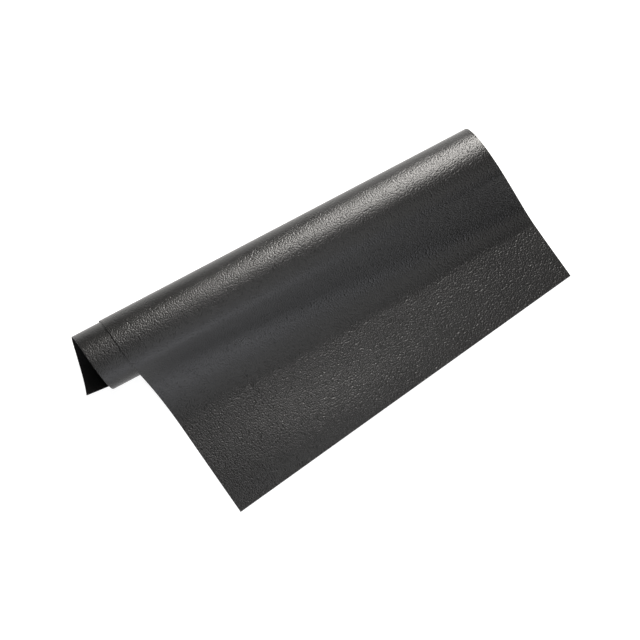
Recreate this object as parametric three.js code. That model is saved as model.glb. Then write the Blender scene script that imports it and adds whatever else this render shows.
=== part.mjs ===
// An anti-static floor mat as it lies on a level floor: one oblong of rubber sheet, its front part nearly flat,
// its far end rolled loosely under itself. Lengths are in mm and angles in degrees.
// The roll lies along X, the floor is Z = 0, and the origin is under the middle of the box round the mat.
import * as THREE from "three";

const rad = THREE.MathUtils.degToRad;

// The sheet as it is cut.
const MAT_WIDTH = 900;
const MAT_LENGTH = 1200;
const THICKNESS = 2.5;

// How it lies, as the section of its upper face square to the roll.
const FLAT_RUN = 223.5; // on the floor, from the front left corner to the start of the rise
const RISE_RADIUS_LEFT = 200; // the bend that lifts the sheet off the floor, straight behind that corner
const RISE_RADIUS_RIGHT = 50; // the same bend one mat's width further right, where it is tighter
const SLOPE = 49; // of the straight run from that bend up to the roll
const ROLL_HALF_WIDTH = 76; // the loose roll is an oval, wider than high
const ROLL_HALF_HEIGHT = 62;
const LAYER_GAP = 0.5; // the air between one layer of the roll and the next
const LEAD = 9.4; // the side edges aren't square to the roll, so each layer stands out left of the one over it
const YAW = 2.2; // the roll is turned by this much against the flap
const YAW_RUN = 200; // the length of sheet, from the start of the rise, that takes the turn up

// A slight wave in the flap. Its crest lies along the roll, and it fades out to both sides.
const WAVE_HEIGHT = 5;
const WAVE_CREST = 85; // from the front left corner, square to the roll
const WAVE_END = 215; // where behind the crest the sheet is down on the floor again
const WAVE_MIDDLE = 235; // from the same corner to its highest place, along the roll
const WAVE_HALF_SPAN = 435;

// How finely the flap and the bends are cut into flat pieces.
const FLAP_COLUMNS = 12;
const FLAT_STEP = 15;
const RISE_STEP = 8;
const ROLL_STEP_ANGLE = 4;

const PITCH = THICKNESS + LAYER_GAP;
const lead = rad(LEAD);
const slope = rad(SLOPE);

// Lengths along the section at which the sheet's corners lie. The first corner is at zero.
const FRONT_RIGHT = MAT_WIDTH * Math.sin(lead);
const END_LEFT = MAT_LENGTH * Math.cos(lead);
const END_RIGHT = END_LEFT + FRONT_RIGHT;

// The roll's upper face where the sheet has turned by the given angle since it came up the slope.
// It is an oval that shrinks by one pitch a turn, given about its own centre.
function rollPoint(turned) {
  const out = Math.PI / 2 + slope - turned;
  const ny = Math.cos(out);
  const nz = Math.sin(out);
  const reach = Math.hypot(ROLL_HALF_WIDTH * ny, ROLL_HALF_HEIGHT * nz);
  const inset = (PITCH * turned) / (2 * Math.PI);
  return {
    y: (ROLL_HALF_WIDTH ** 2 * ny) / reach - ny * inset,
    z: (ROLL_HALF_HEIGHT ** 2 * nz) / reach - nz * inset,
    ny,
    nz,
  };
}

// The roll stands on the floor. The slope runs up to its first point, and if it went on down as straight
// as that, it would meet the flap's upper face at the knee.
const rollStart = rollPoint(0);
const rollCentre = { z: -rollPoint(Math.PI + slope).z };
const slopeLength = (rollStart.z + rollCentre.z - THICKNESS) / Math.sin(slope);
const tangent = Math.tan(slope / 2);
const kneeY = FLAT_RUN + RISE_RADIUS_LEFT * tangent;
const rollRun = FLAT_RUN + RISE_RADIUS_LEFT * (slope - tangent) + slopeLength;
rollCentre.y = kneeY + slopeLength * Math.cos(slope) - rollStart.y;

// The flap's section under the roll's first point: flat, then the bend, then the straight slope.
// The bend gets evenly tighter from left to right, and so starts further back there.
function flapPoint(run, across) {
  const radius = THREE.MathUtils.lerp(RISE_RADIUS_LEFT, RISE_RADIUS_RIGHT, across / MAT_WIDTH);
  const bendEnd = rollRun - slopeLength + radius * tangent;
  const bendStart = bendEnd - radius * slope;
  const bend = THREE.MathUtils.clamp((run - bendStart) / radius, 0, slope);
  const before = Math.min(run - bendStart, 0);
  const after = Math.max(run - bendEnd, 0);
  return {
    y: kneeY - radius * tangent + before + radius * Math.sin(bend) + after * Math.cos(slope),
    z: THICKNESS + radius * (1 - Math.cos(bend)) + after * Math.sin(slope) + waveLift(run, across),
    ny: -Math.sin(bend),
    nz: Math.cos(bend),
  };
}

function waveLift(run, across) {
  const bell = (x) => (1 + Math.cos(Math.PI * Math.min(Math.abs(x), 1))) / 2;
  const reach = run < WAVE_CREST ? WAVE_CREST : WAVE_END - WAVE_CREST;
  return WAVE_HEIGHT * bell((run - WAVE_CREST) / reach) * bell((across - WAVE_MIDDLE) / WAVE_HALF_SPAN);
}

// The rows of points across the sheet, each at one length along the section. A row of the flap has several
// columns. The roll is straight along its length, so its rows have one.
function sectionRows() {
  const rows = [];
  const addFlapRows = (from, to, step) => {
    const count = Math.ceil((to - from) / step);
    for (let i = 0; i < count; i += 1) {
      const run = THREE.MathUtils.lerp(from, to, i / count);
      rows.push({ run, columns: FLAP_COLUMNS, at: (across) => flapPoint(run, across) });
    }
  };
  addFlapRows(0, FRONT_RIGHT, FLAT_STEP);
  addFlapRows(FRONT_RIGHT, FLAT_RUN, FLAT_STEP);
  addFlapRows(FLAT_RUN, rollRun, RISE_STEP);

  const addRollRow = (turned, run, columns) => {
    const p = rollPoint(turned);
    const point = { y: p.y + rollCentre.y, z: p.z + rollCentre.z, ny: p.ny, nz: p.nz };
    rows.push({ run, columns, at: () => point });
  };
  addRollRow(0, rollRun, FLAP_COLUMNS);
  const step = rad(ROLL_STEP_ANGLE);
  let run = rollRun;
  for (let turned = 0; run < END_RIGHT; turned += step) {
    const a = rollPoint(turned);
    const b = rollPoint(turned + step);
    const chord = Math.hypot(b.y - a.y, b.z - a.z);
    for (const corner of [END_LEFT, END_RIGHT])
      if (run < corner && corner < run + chord) addRollRow(turned + (step * (corner - run)) / chord, corner, 1);
    run += chord;
    if (run < END_RIGHT) addRollRow(turned + step, run, 1);
  }
  return rows;
}

// Where the line across the sheet at a given length meets its left and right sides.
function leftEnd(run) {
  if (run <= END_LEFT) return -run * Math.tan(lead);
  return -MAT_LENGTH * Math.sin(lead) + (run - END_LEFT) / Math.tan(lead);
}
function rightEnd(run) {
  if (run <= FRONT_RIGHT) return run / Math.tan(lead);
  return MAT_WIDTH * Math.cos(lead) - (run - FRONT_RIGHT) * Math.tan(lead);
}

// One closed body: upper face, lower face and the cut edges between them.
function sheetGeometry() {
  const positions = [];
  const index = [];
  const addPoint = (p, across, shift, depth) => {
    positions.push(across, p.y - p.ny * depth + shift, p.z - p.nz * depth);
    return positions.length / 3 - 1;
  };
  // The first and the last row are the sheet's corners, a single point each.
  const lines = sectionRows().map((row) => {
    const left = leftEnd(row.run);
    const right = rightEnd(row.run);
    const columns = right - left < 1e-6 ? 0 : row.columns;
    const turnedPart = THREE.MathUtils.smoothstep(row.run, FLAT_RUN, FLAT_RUN + YAW_RUN);
    const line = { top: [], under: [] };
    for (let i = 0; i <= columns; i += 1) {
      const across = columns ? THREE.MathUtils.lerp(left, right, i / columns) : left;
      const shift = Math.tan(rad(YAW)) * turnedPart * (across - MAT_WIDTH / 2);
      const point = row.at(across);
      line.top.push(addPoint(point, across, shift, 0));
      line.under.push(addPoint(point, across, shift, THICKNESS));
    }
    return line;
  });

  // Triangles between two rows, which may differ in their number of points.
  const addStrip = (a, b, flip) => {
    const add = (p, q, r) => (flip ? index.push(r, q, p) : index.push(p, q, r));
    let i = 0;
    let j = 0;
    while (i + 1 < a.length || j + 1 < b.length) {
      const nextA = i + 1 < a.length ? (i + 1) / (a.length - 1) : Infinity;
      const nextB = j + 1 < b.length ? (j + 1) / (b.length - 1) : Infinity;
      if (nextA <= nextB) {
        add(a[i], a[i + 1], b[j]);
        i += 1;
      } else {
        add(a[i], b[j + 1], b[j]);
        j += 1;
      }
    }
  };
  const addWall = (top, nextTop, nextUnder, under) => index.push(top, under, nextUnder, top, nextUnder, nextTop);
  for (let i = 0; i + 1 < lines.length; i += 1) {
    const a = lines[i];
    const b = lines[i + 1];
    addStrip(a.top, b.top, false);
    addStrip(a.under, b.under, true);
    addWall(a.top.at(-1), b.top.at(-1), b.under.at(-1), a.under.at(-1));
    addWall(b.top[0], a.top[0], a.under[0], b.under[0]);
  }
  const geometry = new THREE.BufferGeometry();
  geometry.setAttribute("position", new THREE.Float32BufferAttribute(positions, 3));
  geometry.setIndex(index);
  return geometry;
}

const geometry = sheetGeometry();
geometry.rotateZ(-rad(YAW));
geometry.computeBoundingBox();
const box = geometry.boundingBox;
geometry.translate(-(box.min.x + box.max.x) / 2, -(box.min.y + box.max.y) / 2, -box.min.z);
geometry.computeVertexNormals();

const matSheet = new THREE.Mesh(geometry, new THREE.MeshStandardMaterial({ color: 0x2b2b2d, roughness: 0.6 }));
matSheet.name = "mat_sheet";

const mat = new THREE.Group();
mat.name = "esd_floor_mat";
mat.add(matSheet);

export default mat;
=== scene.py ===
"""An anti-static floor mat of black rubber.

Its front part lies flat, and its far end is rolled loosely under itself.
"""

import math

import bpy
import numpy as np
from mathutils import Matrix, Vector


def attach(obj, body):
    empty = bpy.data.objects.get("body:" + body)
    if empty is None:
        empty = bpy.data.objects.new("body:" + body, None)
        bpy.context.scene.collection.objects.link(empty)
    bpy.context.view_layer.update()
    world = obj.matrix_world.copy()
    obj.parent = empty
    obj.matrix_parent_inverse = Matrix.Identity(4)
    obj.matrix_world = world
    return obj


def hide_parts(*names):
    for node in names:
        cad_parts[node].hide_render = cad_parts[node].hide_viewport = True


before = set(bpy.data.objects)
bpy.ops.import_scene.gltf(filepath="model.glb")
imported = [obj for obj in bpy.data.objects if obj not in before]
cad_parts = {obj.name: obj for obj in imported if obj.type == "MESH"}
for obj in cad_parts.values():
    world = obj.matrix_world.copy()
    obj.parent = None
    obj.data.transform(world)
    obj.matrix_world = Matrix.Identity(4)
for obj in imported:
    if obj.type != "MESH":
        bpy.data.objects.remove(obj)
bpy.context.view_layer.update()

# The sheet as it is cut, in metres.
MAT_WIDTH = 0.9
MAT_LENGTH = 1.2
THICKNESS = 0.0025

# How it lies: the section of its upper face square to the roll, as in the part's source.
FLAT_RUN = 0.2235
RISE_RADIUS_LEFT = 0.2
RISE_RADIUS_RIGHT = 0.05
SLOPE = math.radians(49)
ROLL_HALF_WIDTH = 0.076
ROLL_HALF_HEIGHT = 0.062
LAYER_GAP = 0.0005
LEAD = math.radians(9.4)
YAW = math.radians(2.2)
YAW_RUN = 0.2
PITCH = THICKNESS + LAYER_GAP

# The slight wave in its front part.
WAVE_HEIGHT = 0.005
WAVE_CREST = 0.085
WAVE_END = 0.215
WAVE_MIDDLE = 0.235
WAVE_HALF_SPAN = 0.435

# How finely the sheet is divided, and how much its cut edges are rounded.
ACROSS = 44
ALONG = 430
EDGE_ROUND = 0.0005
ROLL_STEP = math.radians(0.2)
ROLL_END = 5.5 * math.pi

# The grain of the upper face: two sizes of pebble and an unevenness of about the same size as the larger one.
PEBBLE = 0.0036
PEBBLE_HEIGHT = 0.00033
SMALL_PEBBLE = 0.0015
SMALL_PEBBLE_HEIGHT = 0.00003
UNEVEN_SCALE = 280.0
UNEVEN_HEIGHT = 0.0004
# How far and how finely a pebble is bent out of shape, in parts of its size, and how deep the creases are.
BEND = 0.5
BEND_FINENESS = 0.6
CREASE_DEPTH = 1.6

# The camera, fitted to the mat's outline in the photo. The lens and the sensor are in millimetres.
CAMERA_PLACE = (-0.17838, -0.42262, 5.05501)
CAMERA_RIGHT = (0.88427, -0.46684, -0.01166)
CAMERA_FORWARD = (0.03468, 0.09055, -0.99529)
LENS = 128.358
SENSOR = 36.0
FARTHEST = 50.0

# The floor reaches this far from the origin each way, and glows by itself.
FLOOR_REACH = 8.0
FLOOR_GLOW = 0.85

WORLD_STRENGTH = 0.03
WORLD_COLOUR = (1.0, 0.985, 0.955)

# The softboxes hang at one distance from what they aim at. Those that lean back by more than BACK_TILT
# degrees aim at the roll, and the others just in front of it.
LIGHT_DISTANCE = 2.4
BACK_TILT = 30
AIM_HEIGHT = 0.06
AIM_AT_ROLL = 0.15
AIM_BEFORE_ROLL = 0.05

WARM = (1.0, 0.97, 0.93)
COOL = (0.94, 0.95, 1.0)
ROSE = (1.0, 0.96, 0.97)
WHITE = (1.0, 1.0, 1.0)

# Each softbox: its name, place along X, tilt in degrees from straight up (towards the back is positive),
# width, height, radiance and colour. The radiances were fitted to the photo's tones and rounded, and about
# half of them, with some sizes and places, were then changed.
SOFTBOXES = (
    ("back_low", 1.0, 62, 0.7, 0.8, 40.0, WARM),
    ("back_right", 0.8, 49, 0.7, 0.7, 14.0, WARM),
    ("back_right_high", 0.75, 36, 0.8, 0.8, 26.0, WARM),
    ("back_middle_high", 0.2, 36, 0.5, 0.6, 20.0, WARM),
    ("overhead_back", 0.2, 25, 0.5, 0.6, 8.0, WARM),
    ("overhead_wave", -0.15, 12, 0.35, 0.5, 11.0, ROSE),
    ("overhead", -0.3, 0, 0.5, 0.6, 1.0, WHITE),
    ("front_high", -0.1, -24, 0.8, 1.2, 2.5, WHITE),
    ("front_left", -0.8, -44, 0.8, 1.4, 2.0, COOL),
    ("front_right", 0.7, -44, 0.8, 1.4, 1.5, WARM),
    ("front_low_left", -0.8, -70, 0.8, 1.4, 3.0, COOL),
    ("front_low_middle", -0.1, -70, 0.8, 1.4, 3.0, COOL),
)


def add_camera():
    data = bpy.data.cameras.new("camera")
    data.sensor_width = SENSOR
    data.lens = LENS
    data.clip_end = FARTHEST
    camera = bpy.data.objects.new("camera", data)
    right = Vector(CAMERA_RIGHT).normalized()
    forward = Vector(CAMERA_FORWARD).normalized()
    up = right.cross(forward)
    turn = Matrix((right, up, -forward)).transposed()
    camera.matrix_world = Matrix.Translation(CAMERA_PLACE) @ turn.to_4x4()
    bpy.context.scene.collection.objects.link(camera)
    bpy.context.scene.camera = camera


def roll_point(turned):
    """The roll's upper face, about its own centre, where the sheet has turned by the given angles."""
    out = math.pi / 2 + SLOPE - turned
    ny, nz = np.cos(out), np.sin(out)
    reach = np.hypot(ROLL_HALF_WIDTH * ny, ROLL_HALF_HEIGHT * nz)
    inset = PITCH * turned / (2 * math.pi)
    y = ROLL_HALF_WIDTH**2 * ny / reach - ny * inset
    z = ROLL_HALF_HEIGHT**2 * nz / reach - nz * inset
    return y, z, ny, nz


# The roll's upper face point by point, the slope that leads to it, and the length of sheet up to each point.
TURNED = np.arange(0, ROLL_END, ROLL_STEP)
ROLL_Y, ROLL_Z, ROLL_NY, ROLL_NZ = roll_point(TURNED)
ROLL_Z = ROLL_Z - roll_point(np.array([math.pi + SLOPE]))[1][0]
SLOPE_LENGTH = (ROLL_Z[0] - THICKNESS) / math.sin(SLOPE)
TANGENT = math.tan(SLOPE / 2)
KNEE_Y = FLAT_RUN + RISE_RADIUS_LEFT * TANGENT
ROLL_START = FLAT_RUN + RISE_RADIUS_LEFT * (SLOPE - TANGENT) + SLOPE_LENGTH
ROLL_Y = ROLL_Y + KNEE_Y + SLOPE_LENGTH * math.cos(SLOPE) - ROLL_Y[0]
ROLL_RUN = ROLL_START + np.concatenate([[0.0], np.cumsum(np.hypot(np.diff(ROLL_Y), np.diff(ROLL_Z)))])


def bell(x):
    """1 at zero, down to 0 at 1 on either side."""
    return (1 + np.cos(np.pi * np.minimum(np.abs(x), 1))) / 2


def wave(across, run):
    """How far the wave lifts the flap."""
    reach = np.where(run < WAVE_CREST, WAVE_CREST, WAVE_END - WAVE_CREST)
    return WAVE_HEIGHT * bell((run - WAVE_CREST) / reach) * bell((across - WAVE_MIDDLE) / WAVE_HALF_SPAN)


def flap_point(across, run):
    """y, z and the normal's y and z in the flap: flat, then a bend, tighter on the right, then the slope."""
    radius = RISE_RADIUS_LEFT + (RISE_RADIUS_RIGHT - RISE_RADIUS_LEFT) * across / MAT_WIDTH
    bend_end = ROLL_START - SLOPE_LENGTH + radius * TANGENT
    bend_start = bend_end - radius * SLOPE
    bend = np.clip((run - bend_start) / radius, 0, SLOPE)
    before = np.minimum(run - bend_start, 0)
    after = np.maximum(run - bend_end, 0)
    y = KNEE_Y - radius * TANGENT + before + radius * np.sin(bend) + after * math.cos(SLOPE)
    z = THICKNESS + radius * (1 - np.cos(bend)) + after * math.sin(SLOPE) + wave(across, run)
    return y, z, -np.sin(bend), np.cos(bend)


def smooth(x, low, high):
    """0 up to low, 1 from high on, and an even change between them."""
    part = np.clip((x - low) / (high - low), 0, 1)
    return part * part * (3 - 2 * part)


def place(s, t, depth):
    """Points of the sheet at s across and t along it, at a depth under its upper face."""
    across = s * math.cos(LEAD) - t * math.sin(LEAD)
    run = s * math.sin(LEAD) + t * math.cos(LEAD)
    rolled = [np.interp(run, ROLL_RUN, part) for part in (ROLL_Y, ROLL_Z, ROLL_NY, ROLL_NZ)]
    y, z, ny, nz = (np.where(run < ROLL_START, f, r) for f, r in zip(flap_point(across, run), rolled))
    shift = math.tan(YAW) * smooth(run, FLAT_RUN, FLAT_RUN + YAW_RUN) * (across - MAT_WIDTH / 2)
    y = y - ny * depth + shift
    z = z - nz * depth
    turned_x = across * math.cos(YAW) + y * math.sin(YAW)
    turned_y = y * math.cos(YAW) - across * math.sin(YAW)
    return np.stack([turned_x, turned_y, z], axis=-1)


def stations(length, count):
    """Even stations over a length, with closer ones that round the two cut edges, and how deep each lies."""
    inside = np.linspace(0, length, count + 1)[1:-1]
    # From the edge inwards, in parts of the rounding: how far in, and how deep there.
    near = EDGE_ROUND * np.array([0.0, 0.3, 1.0, 3.0])
    drop = EDGE_ROUND * np.array([1.0, 0.3, 0.0, 0.0])
    at = np.concatenate([near, inside, length - near[::-1]])
    deep = np.concatenate([drop, np.zeros(len(inside)), drop[::-1]])
    return at, deep


def sheet_faces(rows, columns):
    """The faces of the upper side, the lower side and the cut edges between them, by the points' numbers."""
    count = rows * columns
    number = np.arange(count).reshape(rows, columns)
    a, b = number[:-1, :-1].ravel(), number[:-1, 1:].ravel()
    c, d = number[1:, 1:].ravel(), number[1:, :-1].ravel()
    upper = np.stack([a, b, c, d], axis=1)
    lower = np.stack([d, c, b, a], axis=1) + count
    rim = np.concatenate([number[0, :], number[1:, -1], number[-1, -2::-1], number[-2:0:-1, 0]])
    following = np.roll(rim, -1)
    walls = np.stack([rim + count, following + count, following, rim], axis=1)
    return upper, lower, walls


def make_sheet():
    s_at, s_deep = stations(MAT_WIDTH, ACROSS)
    t_at, t_deep = stations(MAT_LENGTH, ALONG)
    s, t = np.meshgrid(s_at, t_at)
    round_off = np.maximum(*np.meshgrid(s_deep, t_deep))
    top = place(s, t, round_off)
    under = place(s, t, THICKNESS - round_off)
    points = np.concatenate([top.reshape(-1, 3), under.reshape(-1, 3)])
    parts = sheet_faces(*s.shape)
    faces = np.concatenate(parts)
    materials = np.repeat([0, 1, 2], [len(part) for part in parts])

    mesh = bpy.data.meshes.new("mat_rubber_sheet")
    mesh.vertices.add(len(points))
    mesh.vertices.foreach_set("co", points.ravel())
    mesh.loops.add(faces.size)
    mesh.loops.foreach_set("vertex_index", faces.ravel().astype(np.int32))
    mesh.polygons.add(len(faces))
    mesh.polygons.foreach_set("loop_start", np.arange(0, faces.size, 4, dtype=np.int32))
    mesh.polygons.foreach_set("material_index", materials.astype(np.int32))
    mesh.polygons.foreach_set("use_smooth", np.ones(len(faces), bool))
    flat = np.stack([s.ravel(), t.ravel()], axis=1)
    flat = np.concatenate([flat, flat])
    layer = mesh.uv_layers.new(name="sheet_m")
    layer.data.foreach_set("uv", flat[faces.ravel()].ravel())
    mesh.update()
    mesh.validate()
    sheet = bpy.data.objects.new("mat_rubber_sheet", mesh)
    bpy.context.scene.collection.objects.link(sheet)
    return sheet


def centre(sheet):
    """Puts the sheet in the part's frame: over the origin, on the floor."""
    count = len(sheet.data.vertices)
    points = np.empty(count * 3)
    sheet.data.vertices.foreach_get("co", points)
    points = points.reshape(-1, 3)
    low, high = points.min(axis=0), points.max(axis=0)
    points[:, :2] -= (low[:2] + high[:2]) / 2
    sheet.data.vertices.foreach_set("co", points.ravel())
    sheet.data.update()


class Nodes:
    """Adds nodes to a material and joins them."""

    def __init__(self, name):
        self.material = bpy.data.materials.new(name)
        self.material.use_nodes = True
        self.tree = self.material.node_tree
        self.shader = self.tree.nodes["Principled BSDF"]

    def fill(self, node, inputs):
        for key, value in inputs.items():
            if isinstance(value, bpy.types.NodeSocket):
                self.tree.links.new(value, node.inputs[key])
            else:
                node.inputs[key].default_value = value

    def add(self, kind, inputs, **settings):
        node = self.tree.nodes.new(kind)
        for key, value in settings.items():
            setattr(node, key, value)
        self.fill(node, inputs)
        return node

    def math(self, operation, a, b):
        return self.add("ShaderNodeMath", {0: a, 1: b}, operation=operation).outputs[0]

    def on_sheet(self):
        """Where a point lies on the flat sheet, in metres."""
        return self.add("ShaderNodeUVMap", {}, uv_map="sheet_m").outputs[0]

    def noise(self, at, scale, detail):
        return self.add("ShaderNodeTexNoise", {"Vector": at, "Scale": scale, "Detail": detail}).outputs["Fac"]

    def spread(self, value, low, high, start=0.0, end=1.0):
        """From low to high, as the value goes from start to end."""
        ends = {"Value": value, "From Min": start, "From Max": end, "To Min": low, "To Max": high}
        return self.add("ShaderNodeMapRange", ends).outputs[0]

    def grey(self, value, dark, light):
        """A grey from dark to light, as the value goes from 0 to 1."""
        ends = {0: value, 6: (dark, dark, dark, 1.0), 7: (light, light, light, 1.0)}
        return self.add("ShaderNodeMix", ends, data_type="RGBA").outputs[2]

    def bump(self, height, distance, strength=1.0):
        inputs = {"Height": height, "Distance": distance, "Strength": strength}
        return self.add("ShaderNodeBump", inputs).outputs[0]


def pebbles(n, at, cell):
    """Rounded pebbles about cell metres across, with creases between them.

    The height is lowest in the creases and about 1 on top of a pebble.
    """
    fineness = BEND_FINENESS / cell
    warp = n.add("ShaderNodeTexNoise", {"Vector": at, "Scale": fineness, "Detail": 2.0, "Roughness": 0.5})
    off = n.add("ShaderNodeVectorMath", {0: warp.outputs["Color"], 1: (0.5, 0.5, 0.5)}, operation="SUBTRACT")
    off = n.add("ShaderNodeVectorMath", {0: off.outputs[0], "Scale": cell * BEND}, operation="SCALE")
    moved = n.add("ShaderNodeVectorMath", {0: at, 1: off.outputs[0]}, operation="ADD")
    cells = n.add(
        "ShaderNodeTexVoronoi",
        {"Vector": moved.outputs[0], "Scale": 1.0 / cell, "Randomness": 1.0, "Smoothness": 0.25},
        voronoi_dimensions="2D",
        feature="SMOOTH_F1",
    )
    square = n.math("MULTIPLY", cells.outputs["Distance"], cells.outputs["Distance"])
    return n.math("SUBTRACT", 1.0, n.math("MULTIPLY", square, CREASE_DEPTH))


def rubber_top():
    n = Nodes("rubber_pebbled")
    at = n.on_sheet()
    coarse = pebbles(n, at, PEBBLE)
    fine = pebbles(n, at, SMALL_PEBBLE)
    uneven = n.noise(at, scale=UNEVEN_SCALE, detail=1.0)
    height = n.math("MULTIPLY", coarse, PEBBLE_HEIGHT)
    height = n.math("ADD", height, n.math("MULTIPLY", fine, SMALL_PEBBLE_HEIGHT))
    height = n.math("ADD", height, n.math("MULTIPLY", uneven, UNEVEN_HEIGHT))
    patches = n.noise(at, scale=5.0, detail=3.0)
    look = {
        # The base colour is darker in the creases between the larger pebbles than on their tops: painted
        # shade.
        "Base Color": n.grey(n.spread(coarse, 0.55, 1.0), dark=0.005, light=0.010),
        "Roughness": n.spread(patches, 0.27, 0.31, start=0.3, end=0.7),
        "Specular IOR Level": 0.34,
        "Normal": n.bump(height, 1.0),
    }
    n.fill(n.shader, look)
    return n.material


def rubber_under():
    n = Nodes("rubber_underside")
    grit = n.noise(n.on_sheet(), scale=900.0, detail=3.0)
    look = {
        # The base colour is the rubber's black, made darker than the upper face's as painted shade, since the
        # underside shows only in shade inside the roll; its speckle is random tone.
        "Base Color": n.grey(grit, dark=0.003, light=0.006),
        "Roughness": n.spread(grit, 0.75, 0.9),
        "Specular IOR Level": 0.15,
        "Normal": n.bump(grit, 0.00012),
    }
    n.fill(n.shader, look)
    return n.material


def rubber_cut():
    n = Nodes("rubber_cut_edge")
    drag = n.noise(n.on_sheet(), scale=350.0, detail=2.0)
    look = {
        "Base Color": n.grey(drag, dark=0.007, light=0.012),
        "Roughness": n.spread(drag, 0.45, 0.65),
        "Normal": n.bump(drag, 0.0001, strength=0.6),
    }
    n.fill(n.shader, look)
    return n.material


def floor_material():
    n = Nodes("pale_floor")
    look = {
        "Base Color": (0.4, 0.4, 0.4, 1.0),
        "Roughness": 0.9,
        "Emission Color": (1.0, 1.0, 1.0, 1.0),
        "Emission Strength": FLOOR_GLOW,
        "Specular IOR Level": 0.2,
    }
    n.fill(n.shader, look)
    return n.material


def add_floor():
    near, far = -FLOOR_REACH, FLOOR_REACH
    corners = [(near, near, 0), (far, near, 0), (far, far, 0), (near, far, 0)]
    mesh = bpy.data.meshes.new("floor")
    mesh.from_pydata(corners, [], [(0, 1, 2, 3)])
    mesh.materials.append(floor_material())
    floor = bpy.data.objects.new("floor", mesh)
    bpy.context.scene.collection.objects.link(floor)


def add_softbox(name, x, tilt, width, height, radiance, colour):
    lean = math.radians(tilt)
    aim = Vector((x, AIM_AT_ROLL if tilt > BACK_TILT else AIM_BEFORE_ROLL, AIM_HEIGHT))
    data = bpy.data.lights.new(name, "AREA")
    data.shape = "RECTANGLE"
    data.size = width
    data.size_y = height
    data.energy = radiance * math.pi * width * height
    data.color = colour
    light = bpy.data.objects.new(name, data)
    light.location = aim + LIGHT_DISTANCE * Vector((0, math.sin(lean), math.cos(lean)))
    light.visible_camera = False
    light.rotation_euler = (aim - light.location).to_track_quat("-Z", "Y").to_euler()
    bpy.context.scene.collection.objects.link(light)


def add_world(strength, colour):
    world = bpy.data.worlds.new("studio")
    world.use_nodes = True
    background = world.node_tree.nodes["Background"]
    background.inputs["Color"].default_value = (*colour, 1.0)
    background.inputs["Strength"].default_value = strength
    bpy.context.scene.world = world


add_camera()
sheet = make_sheet()
centre(sheet)
for material in (rubber_top(), rubber_under(), rubber_cut()):
    sheet.data.materials.append(material)
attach(sheet, "root")
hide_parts("mat_sheet")

add_floor()
add_world(WORLD_STRENGTH, WORLD_COLOUR)
for softbox in SOFTBOXES:
    add_softbox(*softbox)

bpy.context.scene.view_settings.view_transform = "Standard"
